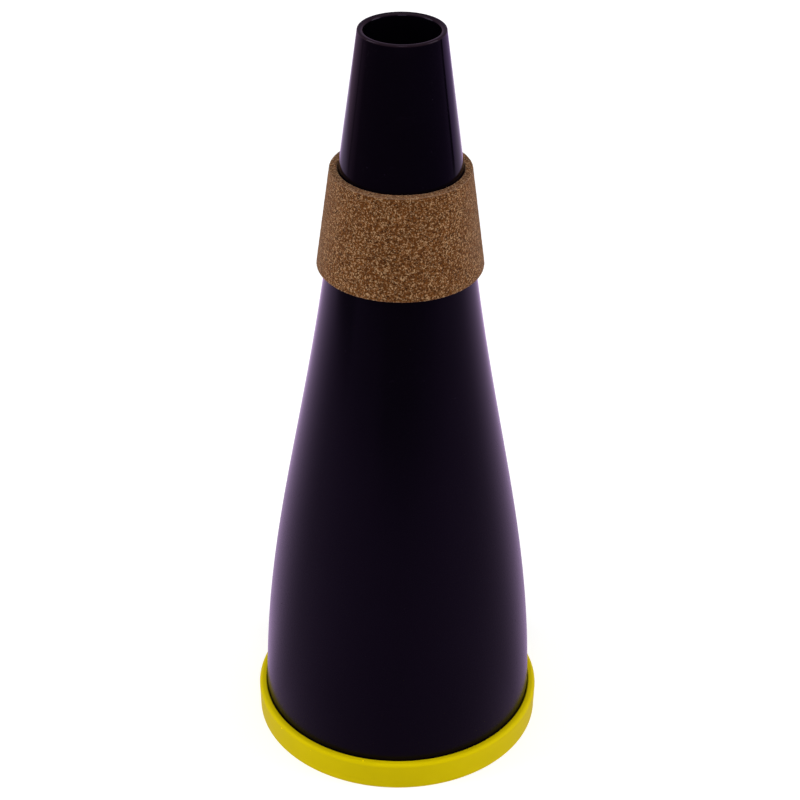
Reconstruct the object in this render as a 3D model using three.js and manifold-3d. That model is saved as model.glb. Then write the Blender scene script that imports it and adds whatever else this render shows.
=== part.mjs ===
// A practice mute for a brass instrument: a moulded cone that stands on a push-on end cap.
// Millimetres, +Z up. The origin is the centre of the ring that the cap stands on.
import * as THREE from 'three';
import { mergeVertices } from 'three/addons/utils/BufferGeometryUtils.js';
import Module from 'manifold-3d';

const wasm = await Module();
wasm.setup();

// Shell: a straight neck at the small end, and a curved flank that widens to the foot
const shellFootRadius = 42.75;
const shellMouthRadius = 12.5;
const neckLength = 73.5;
const neckSpread = 9.62;
const flankLength = 159;
const shellWall = 1.8;
const mouthOuterFillet = 0.2;
const mouthInnerFillet = 0.5;
const footFillet = 0.3;
const shoulderShare = 0.39;
const bellyShare = 0.376;

// Cork band, glued round the neck
const corkDrop = 42.1;
const corkLength = 30.9;
const corkThickness = 2.32;
const corkGlueGap = 0.25;
const corkEdgeFillet = 0.35;

// End cap: outer wall, floor, standing ring, spigot inside the shell, and the tube's socket
const capHeight = 9.4;
const capWall = 2.26;
const capGap = 0.3;
const capDraft = 0.26;
const capBaseFillet = 0.3;
const capLipShare = 0.53;
const capLipInnerShare = 0.31;
const capFloorWall = 2.2;
const standRecess = 1.2;
const standRingWidth = 9.9;
const standFillet = 0.6;
const spigotRise = 7.3;
const spigotWall = 2;
const spigotClearance = 1;
const spigotFillet = 0.5;
const outletRadius = 4;
const outletFillet = 0.5;
const bossWall = 1.9;
const bossRise = 12.6;
const bossFillet = 0.4;

// Ribs across the cap's floor, each with a gusset up the boss
const ribCount = 6;
const ribThickness = 1.6;
const ribRise = 4;
const gussetReach = 5;
const gussetRise = 9;

// Seal: a rubber ring of L section, with its web under the shell's foot and its leg inside it
const sealLeg = 0.55;
const sealWeb = 1;
const sealRise = 5.75;
const sealGap = 0.13;
const sealFillet = 0.2;

// Vent tube in its grommet, with bleed holes under a plug
const tubeRadius = 6;
const tubeWall = 1.2;
const tubeLength = 112;
const tubeGap = 0.1;
const grommetWall = 1.1;
const grommetFlange = 1.6;
const plugStemLength = 5;
const plugHeadHeight = 2;
const plugFillet = 0.7;
const bleedRadius = 0.9;
const bleedPitch = 6;
const bleedLand = 2;
const bleedRows = 2;

// Foam and felt that damp the chamber
const foamGap = 0.3;
const baseFoamHeight = 30;
const collarLength = 15;
const collarLand = 1.5;
const collarClearance = 0.5;
const linerRise = 4.4;
const linerLength = 76;
const linerThickness = 2.5;
const linerGlueGap = 0.3;

// One overrun serves all cuts
const overrun = 1;

// How finely the round shapes are divided
const bodySides = 56;
const smallSides = 30;
const drillSides = 12;
const flankSteps = 12;
const bandSteps = 3;
const filletSteps = 2;

// Heights and radii that follow from the sizes above
const grooveFloorZ = capFloorWall;
const capFloorZ = standRecess + capFloorWall;
const shellFootZ = grooveFloorZ + sealGap + sealWeb + sealGap;
const neckFootZ = shellFootZ + flankLength;
const mouthZ = neckFootZ + neckLength;
const neckFootRadius = shellMouthRadius + neckSpread;
const capBoreRadius = shellFootRadius + capGap;
const capRadius = capBoreRadius + capWall;
const spigotRadius = shellFootRadius - shellWall - spigotClearance;
const spigotBoreRadius = spigotRadius - spigotWall;
const socketRadius = tubeRadius + tubeGap + grommetWall + tubeGap;
const bossRadius = socketRadius + bossWall;
const bossTopZ = capFloorZ + bossRise;
const ribTopZ = capFloorZ + ribRise;
const tubeFootZ = capFloorZ + tubeGap;
const tubeTopZ = tubeFootZ + tubeLength;
const tubeBoreRadius = tubeRadius - tubeWall;
const firstBleedZ = tubeTopZ - plugStemLength - bleedLand - bleedRadius;
const lastBleedZ = firstBleedZ - (bleedRows - 1) * bleedPitch;
const baseFoamZ = ribTopZ + foamGap;
const linerFootZ = baseFoamZ + baseFoamHeight + linerRise;

function point(radius, height) {
  return new THREE.Vector2(radius, height);
}

// Corner points of a profile, [radius, height, fillet], with each fillet drawn as an arc.
function filleted(corners) {
  const places = corners.map(([radius, height]) => point(radius, height));
  return corners.flatMap(([, , fillet = 0], index) => {
    const here = places[index];
    if (fillet === 0) return [here];
    const toBefore = places.at(index - 1).clone().sub(here).normalize();
    const toAfter = places[(index + 1) % places.length].clone().sub(here).normalize();
    const halfAngle = Math.acos(toBefore.dot(toAfter)) / 2;
    const start = here.clone().addScaledVector(toBefore, fillet / Math.tan(halfAngle));
    const centre = toBefore.clone().add(toAfter).setLength(fillet / Math.sin(halfAngle)).add(here);
    const turn = (Math.PI - 2 * halfAngle) * Math.sign(toAfter.cross(toBefore));
    return Array.from({ length: filletSteps + 1 }, (_, step) =>
      start.clone().rotateAround(centre, (turn * step) / filletSteps));
  });
}

// Solid of revolution about Z. The profile runs up its outer side, and closes on itself unless
// it starts and ends on the axis.
function revolve(profile, sides) {
  const closed = profile[0].x === 0 ? profile : [...profile, profile[0]];
  return new THREE.LatheGeometry(closed, sides).rotateX(Math.PI / 2);
}

function toSolid(geometry) {
  const bare = geometry.clone();
  bare.deleteAttribute('normal');
  bare.deleteAttribute('uv');
  const merged = mergeVertices(bare);
  return new wasm.Manifold(new wasm.Mesh({
    numProp: 3,
    vertProperties: new Float32Array(merged.attributes.position.array),
    triVerts: new Uint32Array(merged.index.array),
  }));
}

function toGeometry(solid) {
  const { vertProperties, triVerts, numProp } = solid.getMesh();
  const geometry = new THREE.BufferGeometry();
  geometry.setAttribute('position', new THREE.BufferAttribute(vertProperties.slice(), numProp));
  geometry.setIndex(new THREE.BufferAttribute(triVerts.slice(), 1));
  geometry.computeVertexNormals();
  return geometry;
}

// Heights from one level to another, in equal steps.
function levels(from, to, steps) {
  return Array.from({ length: steps + 1 }, (_, step) => from + ((to - from) * step) / steps);
}

// The shell's outer side, from the foot to the mouth: the flank leaves the foot upright and
// meets the neck's straight cone without a kink.
function shellOutline() {
  const shoulder = shoulderShare * flankLength;
  const flank = new THREE.CubicBezierCurve(
    point(shellFootRadius, shellFootZ),
    point(shellFootRadius, shellFootZ + bellyShare * flankLength),
    point(neckFootRadius + (neckSpread / neckLength) * shoulder, neckFootZ - shoulder),
    point(neckFootRadius, neckFootZ),
  );
  return [...flank.getPoints(flankSteps), point(shellMouthRadius, mouthZ)];
}

const outline = shellOutline();

// The shell's outer radius at a height.
function shellRadiusAt(height) {
  const above = Math.max(1, outline.findIndex((place) => place.y >= height));
  const [low, high] = [outline[above - 1], outline[above]];
  return THREE.MathUtils.mapLinear(height, low.y, high.y, low.x, high.x);
}

// Corners up one side of a wall that follows the shell at an offset from its outer side,
// with a fillet at the foot and at the top. A negative offset lies inside.
function sideCorners(heights, offset, footRound, topRound) {
  const last = heights.length - 1;
  return heights.map((height, index) => {
    const round = { 0: footRound, [last]: topRound }[index];
    return [shellRadiusAt(height) + offset, height, round];
  });
}

// Closed profile of a band that follows the shell's side between two heights.
function bandProfile(footZ, topZ, outerOffset, innerOffset, fillet) {
  const heights = levels(footZ, topZ, bandSteps);
  return filleted([
    ...sideCorners(heights, outerOffset, fillet, fillet),
    ...sideCorners(heights, innerOffset, fillet, fillet).reverse(),
  ]);
}

function bodyShell() {
  const heights = outline.map((place) => place.y);
  return revolve(filleted([
    ...sideCorners(heights, 0, footFillet, mouthOuterFillet),
    ...sideCorners(heights, -shellWall, footFillet, mouthInnerFillet).reverse(),
  ]), bodySides);
}

function neckCork() {
  const topZ = mouthZ - corkDrop;
  const outerOffset = corkGlueGap + corkThickness;
  return revolve(bandProfile(topZ - corkLength, topZ, outerOffset, corkGlueGap, corkEdgeFillet), bodySides);
}

// Side outline of one rib, drawn out from the axis, with its two ends sunk in boss and spigot.
function capRib() {
  const innerEnd = (socketRadius + bossRadius) / 2;
  const outerEnd = (spigotBoreRadius + spigotRadius) / 2;
  const footZ = (standRecess + capFloorZ) / 2;
  const gussetFoot = bossRadius + gussetReach;
  const outlineShape = new THREE.Shape([
    point(innerEnd, footZ),
    point(outerEnd, footZ),
    point(outerEnd, ribTopZ),
    point(gussetFoot, ribTopZ),
    point(bossRadius, capFloorZ + gussetRise),
    point(innerEnd, capFloorZ + gussetRise),
  ]);
  const rib = new THREE.ExtrudeGeometry(outlineShape, { depth: ribThickness, bevelEnabled: false });
  return rib.translate(0, 0, -ribThickness / 2).rotateX(Math.PI / 2);
}

function endCap() {
  const footRadius = capRadius - capDraft;
  const standInnerRadius = footRadius - capBaseFillet - standRingWidth;
  const spigotTopZ = grooveFloorZ + spigotRise;
  const moulding = revolve(filleted([
    [outletRadius, standRecess, outletFillet],
    [standInnerRadius - standRecess, standRecess, standFillet],
    [standInnerRadius, 0, standFillet],
    [footRadius, 0, capBaseFillet],
    [capRadius, capHeight, capLipShare * capWall],
    [capBoreRadius, capHeight, capLipInnerShare * capWall],
    [capBoreRadius, grooveFloorZ],
    [spigotRadius, grooveFloorZ],
    [spigotRadius, spigotTopZ, spigotFillet],
    [spigotBoreRadius, spigotTopZ, spigotFillet],
    [spigotBoreRadius, capFloorZ],
    [bossRadius, capFloorZ],
    [bossRadius, bossTopZ, bossFillet],
    [socketRadius, bossTopZ, bossFillet],
    [socketRadius, capFloorZ],
    [outletRadius, capFloorZ],
  ]), bodySides);
  let solid = toSolid(moulding);
  for (let index = 0; index < ribCount; index += 1) {
    solid = solid.add(toSolid(capRib().rotateZ((index * 2 * Math.PI) / ribCount)));
  }
  return toGeometry(solid);
}

function capSeal() {
  const footZ = grooveFloorZ + sealGap;
  const legInner = spigotRadius + sealGap;
  const legOuter = legInner + sealLeg;
  const webOuter = capBoreRadius - sealGap;
  const webTopZ = footZ + sealWeb;
  const topZ = footZ + sealRise;
  return revolve(filleted([
    [legInner, footZ],
    [webOuter, footZ],
    [webOuter, webTopZ],
    [legOuter, webTopZ],
    [legOuter, topZ, sealFillet],
    [legInner, topZ, sealFillet],
  ]), bodySides);
}

// The bleed holes are drilled right through the tube, two at a time, and each row is turned
// by half the angle between its holes.
function ventTube() {
  let solid = toSolid(revolve([
    point(tubeBoreRadius, tubeFootZ),
    point(tubeRadius, tubeFootZ),
    point(tubeRadius, tubeTopZ),
    point(tubeBoreRadius, tubeTopZ),
  ], smallSides));
  for (let row = 0; row < bleedRows; row += 1) {
    for (const quarter of [0, 1]) {
      const drill = new THREE.CylinderGeometry(
        bleedRadius, bleedRadius, 2 * (tubeRadius + overrun), drillSides);
      drill.rotateZ((quarter * Math.PI) / 2 + (row * Math.PI) / 4);
      drill.translate(0, 0, firstBleedZ - row * bleedPitch);
      solid = solid.subtract(toSolid(drill));
    }
  }
  return toGeometry(solid);
}

function tubePlug() {
  const headZ = tubeTopZ + tubeGap;
  const stemRadius = tubeBoreRadius - tubeGap;
  const stemFootZ = headZ - plugStemLength;
  return revolve([
    point(0, stemFootZ),
    ...filleted([
      [stemRadius, stemFootZ],
      [stemRadius, headZ],
      [tubeRadius, headZ],
      [tubeRadius, headZ + plugHeadHeight, plugFillet],
      [0, headZ + plugHeadHeight],
    ]),
  ], smallSides);
}

function tubeGrommet() {
  const boreRadius = tubeRadius + tubeGap;
  const sleeveRadius = boreRadius + grommetWall;
  const flangeZ = bossTopZ + tubeGap;
  return revolve([
    point(boreRadius, tubeFootZ),
    point(sleeveRadius, tubeFootZ),
    point(sleeveRadius, flangeZ),
    point(bossRadius, flangeZ),
    point(bossRadius, flangeZ + grommetFlange),
    point(boreRadius, flangeZ + grommetFlange),
  ], smallSides);
}

// The foam clears the gussets in the middle, and outside both the spigot and the shell.
function baseFoam() {
  const topZ = baseFoamZ + baseFoamHeight;
  const shellBore = shellRadiusAt(topZ) - shellWall;
  const outerRadius = Math.min(spigotBoreRadius, shellBore) - foamGap;
  const boreRadius = bossRadius + gussetReach + foamGap;
  return revolve([
    point(boreRadius, baseFoamZ),
    point(outerRadius, baseFoamZ),
    point(outerRadius, topZ),
    point(boreRadius, topZ),
  ], bodySides);
}

function centringFoam() {
  const topZ = lastBleedZ - bleedRadius - collarLand;
  const footZ = topZ - collarLength;
  const inset = shellWall + linerGlueGap + linerThickness + collarClearance;
  const boreRadius = tubeRadius + foamGap;
  return revolve([
    point(boreRadius, footZ),
    point(shellRadiusAt(footZ) - inset, footZ),
    point(shellRadiusAt(topZ) - inset, topZ),
    point(boreRadius, topZ),
  ], bodySides);
}

function wallLiner() {
  const outerOffset = -(shellWall + linerGlueGap);
  const innerOffset = outerOffset - linerThickness;
  return revolve(
    bandProfile(linerFootZ, linerFootZ + linerLength, outerOffset, innerOffset, 0), bodySides);
}

// Each finish is a colour and a roughness.
const blackPlastic = ['#120d17', 0.22];
const corkSheet = ['#6d482e', 0.95];
const yellowPlastic = ['#c9b408', 0.42];
const blackRubber = ['#161616', 0.8];
const greyPlastic = ['#4b4b50', 0.4];
const foam = ['#3c3c40', 1];
const felt = ['#57555c', 1];

const mute = new THREE.Group();

function addPiece(name, geometry, [color, roughness]) {
  const material = new THREE.MeshStandardMaterial({ color, roughness, metalness: 0 });
  const mesh = new THREE.Mesh(geometry, material);
  mesh.name = name;
  mute.add(mesh);
}

addPiece('body_shell', bodyShell(), blackPlastic);
addPiece('neck_cork', neckCork(), corkSheet);
addPiece('cap_seal', capSeal(), blackRubber);
addPiece('wall_liner', wallLiner(), felt);
addPiece('end_cap', endCap(), yellowPlastic);
addPiece('vent_tube', ventTube(), greyPlastic);
addPiece('tube_plug', tubePlug(), blackRubber);
addPiece('tube_grommet', tubeGrommet(), blackRubber);
addPiece('base_foam', baseFoam(), foam);
addPiece('centring_foam', centringFoam(), foam);

export default mute;
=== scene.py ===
"""Studio scene of a practice mute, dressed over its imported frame.

The mute is turned about +Z and stands on its end cap. Every length is in metres. Each piece
takes the place of one plain solid and rides on that solid's body.
"""
import logging
import math
from dataclasses import dataclass, field
from enum import Enum
from typing import Sequence

import bmesh
import bpy
from bmesh.types import BMEdge, BMesh, BMVert
from bpy.types import Material, Node, NodeSocket, NodeTree, Object
from mathutils import Matrix, Vector, geometry, noise


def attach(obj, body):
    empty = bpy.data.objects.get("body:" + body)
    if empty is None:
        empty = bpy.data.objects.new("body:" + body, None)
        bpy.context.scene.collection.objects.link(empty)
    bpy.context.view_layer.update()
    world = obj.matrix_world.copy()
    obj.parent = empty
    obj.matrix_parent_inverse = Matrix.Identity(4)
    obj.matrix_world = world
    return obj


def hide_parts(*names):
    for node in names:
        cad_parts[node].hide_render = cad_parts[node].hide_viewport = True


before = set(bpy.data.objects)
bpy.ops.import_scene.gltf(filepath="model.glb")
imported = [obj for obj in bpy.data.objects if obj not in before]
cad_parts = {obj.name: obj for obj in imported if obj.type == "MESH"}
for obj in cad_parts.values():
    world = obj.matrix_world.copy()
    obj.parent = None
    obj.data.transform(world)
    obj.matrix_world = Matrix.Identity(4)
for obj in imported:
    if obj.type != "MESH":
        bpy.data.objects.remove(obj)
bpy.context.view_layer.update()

log = logging.getLogger("practice_mute")

Triple = tuple[float, float, float]
Stops = Sequence[tuple[float, float | Triple]]

FULL_TURN = 2 * math.pi
ORIGIN: Triple = (0.0, 0.0, 0.0)
UP: Triple = (0.0, 0.0, 1.0)
WHITE: Triple = (1.0, 1.0, 1.0)
WELD_DISTANCE = 1e-6
RING_TOLERANCE = 2e-6
WIDE_STEPS = 256
SLIM_STEPS = 96
SOFT_CREASE = 1.1


class Closure(Enum):
    """How a turned profile ends."""

    RING = "closes on itself"
    AXIS = "starts and ends on the axis"


class Body(Enum):
    """The two rigid bodies of the frame."""

    SHELL = "mute_body"
    CAP = "cap_insert"


@dataclass(frozen=True)
class Corner:
    """One corner of a profile."""

    radius: float
    height: float
    rounding: float = 0.0


@dataclass(frozen=True)
class Turning:
    """A profile, and how it is turned about the axis."""

    corners: Sequence[Corner]
    closure: Closure = Closure.RING
    steps: int = 192
    slit_angle: float = 0.0
    slit_bearing: float = 0.0
    round_segments: int = 4

    def mesh(self) -> BMesh:
        """Turns the profile and rounds its corners.

        Returns:
            A closed mesh with its faces pointing outwards.
        """
        work = bmesh.new()
        verts = [work.verts.new((c.radius, 0.0, c.height)) for c in self.corners]
        if self.slit_angle:
            section = [*verts, work.faces.new(verts)]
            section += list(work.edges)
        else:
            ends = verts[1:] + verts[:1] if self.closure is Closure.RING else verts[1:]
            section = [*verts, *(work.edges.new(pair) for pair in zip(verts, ends))]
        spin(work, section, FULL_TURN - self.slit_angle, self.steps, merge=not self.slit_angle)
        bmesh.ops.remove_doubles(work, verts=work.verts, dist=WELD_DISTANCE)
        bmesh.ops.recalc_face_normals(work, faces=work.faces)
        for corner in self.corners:
            if corner.rounding:
                place = Vector((corner.radius, corner.height))
                ring = [e for e in work.edges if all(on_ring(v, place) for v in e.verts)]
                round_edges(work, ring, corner.rounding, self.round_segments)
        turned = Matrix.Rotation(self.slit_bearing + self.slit_angle / 2, 3, "Z")
        bmesh.ops.rotate(work, verts=work.verts, cent=ORIGIN, matrix=turned)
        return work


def on_ring(vert: BMVert, place: Vector) -> bool:
    """Tells whether a vertex lies on the ring at one radius and height."""
    here = Vector((vert.co.xy.length, vert.co.z))
    return (here - place).length < RING_TOLERANCE


def spin(
    work: BMesh, parts: list, angle: float, steps: int, merge: bool = False, copy: bool = False
) -> None:
    """Turns parts of a mesh about the axis, which draws faces or leaves copies.

    Args:
        work: The mesh.
        parts: The vertices, edges or faces to turn.
        angle: The whole turn.
        steps: How many steps it takes.
        merge: Whether the last step is joined to the first.
        copy: Whether it leaves copies.
    """
    bmesh.ops.spin(
        work, geom=parts, cent=ORIGIN, axis=UP, dvec=ORIGIN, angle=angle, steps=steps,
        use_merge=merge, use_duplicate=copy)


def round_edges(work: BMesh, edges: list[BMEdge], width: float, segments: int) -> None:
    """Rounds edges of a mesh.

    Args:
        work: The mesh.
        edges: The edges.
        width: How far the rounding reaches on each side.
        segments: Number of faces across it.
    """
    bmesh.ops.bevel(
        work, geom=edges, offset=width, offset_type="OFFSET", segments=segments, profile=0.5,
        affect="EDGES", material=-1, clamp_overlap=True)


def roughen(work: BMesh, grain: float, depth: float) -> None:
    """Moves each vertex in or out by smooth noise.

    Args:
        work: The mesh to move.
        grain: Length of one swell of the noise.
        depth: Farthest that a vertex moves.
    """
    work.normal_update()
    for vert in work.verts:
        vert.co += vert.normal * (depth * noise.noise(vert.co / grain))


def to_piece(work: BMesh, name: str, crease: float = 0.6) -> Object:
    """Makes a smooth-shaded object of a finished mesh.

    Args:
        work: The mesh, which is freed.
        name: The piece's name.
        crease: Angle in radians past which an edge stays sharp.

    Returns:
        The new object, at the origin.
    """
    for face in work.faces:
        face.smooth = True
    for edge in work.edges:
        edge.smooth = not edge.is_manifold or edge.calc_face_angle(0.0) < crease
    mesh = bpy.data.meshes.new(name)
    work.to_mesh(mesh)
    work.free()
    piece = bpy.data.objects.new(name, mesh)
    bpy.context.scene.collection.objects.link(piece)
    weighted = piece.modifiers.new("even_normals", "WEIGHTED_NORMAL")
    weighted.keep_sharp = True
    return piece


def carve(piece: Object, cutter: BMesh) -> None:
    """Cuts one closed mesh out of a piece.

    Args:
        piece: The piece, whose mesh is replaced by the cut one.
        cutter: The closed mesh to cut with, which is freed.
    """
    tool_mesh = bpy.data.meshes.new("cutter")
    cutter.to_mesh(tool_mesh)
    cutter.free()
    tool = bpy.data.objects.new("cutter", tool_mesh)
    bpy.context.scene.collection.objects.link(tool)
    cut = piece.modifiers.new("cut", "BOOLEAN")
    cut.operation = "DIFFERENCE"
    cut.solver = "EXACT"
    cut.object = tool
    piece.modifiers.move(len(piece.modifiers) - 1, 0)
    graph = bpy.context.evaluated_depsgraph_get()
    before = piece.data
    piece.data = bpy.data.meshes.new_from_object(piece.evaluated_get(graph))
    piece.data.name = piece.name
    piece.modifiers.remove(piece.modifiers["cut"])
    bpy.data.objects.remove(tool)
    for mesh in (before, tool_mesh):
        bpy.data.meshes.remove(mesh)


@dataclass(frozen=True)
class Span:
    """A range of values, and what its two ends become."""

    low: float
    high: float
    at_low: float = 0.0
    at_high: float = 1.0


@dataclass(frozen=True)
class Grain:
    """The settings of a noise texture."""

    scale: float
    detail: float
    roughness: float = 0.5
    distortion: float = 0.0


@dataclass(frozen=True)
class Relief:
    """How strong and how deep a bump is."""

    strength: float
    depth: float


class Bench:
    """Adds nodes to one tree and links them as they are added."""

    def __init__(self, tree: NodeTree) -> None:
        """Takes the tree that the nodes go into."""
        self.tree = tree

    def set(self, node: Node, name: str | int, value: object) -> None:
        """Links an input to a socket, or sets it to a value.

        Args:
            node: The node that has the input.
            name: The input's name or place.
            value: A socket, a number, a vector, or a colour without its alpha.
        """
        socket = node.inputs[name]
        if isinstance(value, NodeSocket):
            self.tree.links.new(value, socket)
        else:
            socket.default_value = (*value, 1.0) if socket.type == "RGBA" else value

    def add(
        self, kind: str, inputs: dict[str | int, object] | None = None, **settings: object
    ) -> Node:
        """Adds a node.

        Args:
            kind: The node's type, without the ShaderNode in front.
            inputs: What each input is set to, or the socket that it is linked to.
            settings: The node's own settings.

        Returns:
            The new node.
        """
        node = self.tree.nodes.new("ShaderNode" + kind)
        for name, value in settings.items():
            setattr(node, name, value)
        for name, value in (inputs or {}).items():
            self.set(node, name, value)
        return node

    def ramp(self, fac: NodeSocket, stops: Stops) -> NodeSocket:
        """Adds a colour ramp.

        Args:
            fac: The socket that drives the ramp.
            stops: Place and colour, or level of grey, of each stop, from low to high.

        Returns:
            The ramp's colour socket.
        """
        node = self.add("ValToRGB", {"Fac": fac})
        elements = node.color_ramp.elements
        while len(elements) < len(stops):
            elements.new(0.5)
        for element, (place, colour) in zip(elements, stops):
            element.position = place
            element.color = (*(colour if isinstance(colour, tuple) else (colour,) * 3), 1.0)
        return node.outputs["Color"]

    def math(self, operation: str, *values: object) -> NodeSocket:
        """Adds a Math node and returns its value socket."""
        return self.add("Math", dict(enumerate(values)), operation=operation).outputs[0]

    def stretch(self, value: NodeSocket, span: Span) -> NodeSocket:
        """Maps a value from one range to another, held at both ends."""
        inputs = {"Value": value, 1: span.low, 2: span.high, 3: span.at_low, 4: span.at_high}
        return self.add("MapRange", inputs, clamp=True).outputs["Result"]

    def blend(self, fac: object, low: object, high: object, mode: str = "MIX") -> NodeSocket:
        """Mixes two colours and returns the colour socket."""
        node = self.add("Mix", {0: fac, 6: low, 7: high}, data_type="RGBA", blend_type=mode)
        return node.outputs[2]

    def noise(self, place: NodeSocket, grain: Grain, output: str = "Fac") -> NodeSocket:
        """Adds a noise texture.

        Args:
            place: The coordinates' socket.
            grain: The texture's settings.
            output: Which socket is wanted.

        Returns:
            That socket.
        """
        inputs = {
            "Vector": place, "Scale": grain.scale, "Detail": grain.detail,
            "Roughness": grain.roughness, "Distortion": grain.distortion}
        return self.add("TexNoise", inputs).outputs[output]

    def seen(self) -> NodeSocket:
        """Adds the test of whether the eye, gloss or glass looks at a surface.

        Returns:
            The socket, 1 where one of them does and 0 where not.
        """
        path = self.add("LightPath").outputs
        direct = self.math("MAXIMUM", path["Is Camera Ray"], path["Is Glossy Ray"])
        return self.math("MAXIMUM", direct, path["Is Transmission Ray"])


class Group(Bench):
    """A shader node group, with its sockets."""

    def __init__(self, name: str, inputs: dict[str, str], outputs: Sequence[str]) -> None:
        """Starts the group.

        Args:
            name: The group's name.
            inputs: Name and socket type of each input.
            outputs: Name of each output, which holds a number.
        """
        super().__init__(bpy.data.node_groups.new(name, "ShaderNodeTree"))
        sockets = [("INPUT", *entry) for entry in inputs.items()]
        for way, label, kind in sockets + [("OUTPUT", label, "Float") for label in outputs]:
            self.tree.interface.new_socket(label, in_out=way, socket_type="NodeSocket" + kind)
        self.inputs = self.tree.nodes.new("NodeGroupInput").outputs
        self.leave = self.tree.nodes.new("NodeGroupOutput")

    def close(self, *values: NodeSocket) -> NodeTree:
        """Links the outputs.

        Args:
            values: What each output gives, in order.

        Returns:
            The finished group.
        """
        for place, value in enumerate(values):
            self.set(self.leave, place, value)
        return self.tree


@dataclass(frozen=True)
class Granules:
    """Cells of uneven shade with darker lines between them, in units of one cell."""

    wobble: float = 0.9
    wobble_detail: float = 2.0
    middle: Triple = (0.5, 0.5, 0.5)
    seam: Span = Span(0.0, 0.16, 1.0, 0.0)
    dome: Span = Span(0.0, 0.35)

    def group(self) -> NodeTree:
        """Builds the group.

        Returns:
            The group, with inputs Vector and Density, and outputs Shade, Seam and Height.
        """
        group = Group(
            "granules", {"Vector": "Vector", "Density": "Float"}, ("Shade", "Seam", "Height"))
        place, density = group.inputs["Vector"], group.inputs["Density"]
        swirl = group.noise(place, Grain(density, self.wobble_detail), "Color")
        offset = group.add("VectorMath", {0: swirl, 1: self.middle}, operation="SUBTRACT")
        reach = group.math("DIVIDE", self.wobble, density)
        shifted = group.add("VectorMath", {0: offset.outputs[0], "Scale": reach}, operation="SCALE")
        warped = group.add("VectorMath", {0: place, 1: shifted.outputs[0]}, operation="ADD")
        layout = {"Vector": warped.outputs[0], "Scale": density}
        cells = group.add("TexVoronoi", layout).outputs
        shade = group.add("SeparateColor", {"Color": cells["Color"]}).outputs["Red"]
        edges = group.add("TexVoronoi", layout, feature="DISTANCE_TO_EDGE").outputs["Distance"]
        return group.close(shade, *(group.stretch(edges, span) for span in (self.seam, self.dome)))


@dataclass(frozen=True)
class Handling:
    """The wear that handling leaves on smooth plastic: smears, hairlines and dust."""

    smear: Grain = Grain(55.0, 5.0, 0.6)
    scratch_turn: Triple = (0.5, 0.3, 0.9)
    scratch_scale: Triple = (9.0, 260.0, 60.0)
    scratch: Grain = Grain(9.0, 2.0)
    hairline: Span = Span(0.66, 0.72)
    specks_per_metre: float = 420.0
    rare: Span = Span(0.90, 0.93)
    spot: Span = Span(0.05, 0.12, 1.0, 0.0)

    def group(self) -> NodeTree:
        """Builds the group.

        Returns:
            The group, with the input Vector and the outputs Smear, Hairline and Dust.
        """
        group = Group("handling", {"Vector": "Vector"}, ("Smear", "Hairline", "Dust"))
        place = group.inputs["Vector"]
        turned = group.add("Mapping", {
            "Vector": place, "Rotation": self.scratch_turn, "Scale": self.scratch_scale})
        hairline = group.stretch(group.noise(turned.outputs[0], self.scratch), self.hairline)
        specks = group.add("TexVoronoi", {"Vector": place, "Scale": self.specks_per_metre}).outputs
        pick = group.add("SeparateColor", {"Color": specks["Color"]}).outputs["Green"]
        spot = group.stretch(specks["Distance"], self.spot)
        dust = group.math("MULTIPLY", group.stretch(pick, self.rare), spot)
        return group.close(group.noise(place, self.smear), hairline, dust)


@dataclass(frozen=True)
class Effects:
    """The node groups that several finishes share."""

    granules: NodeTree
    handling: NodeTree


class Surface(Bench):
    """The bench of one material, with its shader and coordinates."""

    def __init__(self, name: str) -> None:
        """Makes the material.

        Args:
            name: The material's name.
        """
        self.material = bpy.data.materials.new(name)
        self.material.use_nodes = True
        super().__init__(self.material.node_tree)
        self.shader = self.tree.nodes["Principled BSDF"]
        self.coordinates = self.add("TexCoord").outputs
        self.place = self.coordinates["Object"]

    def drive(self, name: str, value: object) -> None:
        """Sets or links one input of the shader."""
        self.set(self.shader, name, value)

    def group(self, tree: NodeTree, **inputs: float) -> bpy.types.NodeOutputs:
        """Adds a node group over the object coordinates and returns its output sockets."""
        return self.add("Group", {"Vector": self.place, **inputs}, node_tree=tree).outputs

    def bump(self, height: NodeSocket, relief: Relief) -> None:
        """Gives the shader a bump."""
        inputs = {"Strength": relief.strength, "Distance": relief.depth, "Height": height}
        self.drive("Normal", self.add("Bump", inputs).outputs["Normal"])

    def tone(self, colour: NodeSocket, fac: NodeSocket, stops: Stops) -> None:
        """Gives the shader a colour that a ramp of greys darkens."""
        self.drive("Base Color", self.blend(1.0, colour, self.ramp(fac, stops), "MULTIPLY"))

    def upward(self) -> NodeSocket:
        """Adds how far a face looks upward, from -1 to 1."""
        return self.add("SeparateXYZ", {0: self.coordinates["Normal"]}).outputs["Z"]

    def away(self) -> NodeSocket:
        """Adds the distance from the object's origin."""
        return self.add("VectorMath", {0: self.place}, operation="LENGTH").outputs["Value"]

    def show(self, front: Node) -> None:
        """Shows one shader on the front of each face, and nothing on its back.

        Args:
            front: The shader's node.
        """
        clear = self.add("BsdfTransparent").outputs[0]
        under = self.add("NewGeometry").outputs["Backfacing"]
        both = self.add("MixShader", {0: under, 1: front.outputs[0], 2: clear})
        self.set(self.tree.nodes["Material Output"], "Surface", both.outputs[0])


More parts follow.
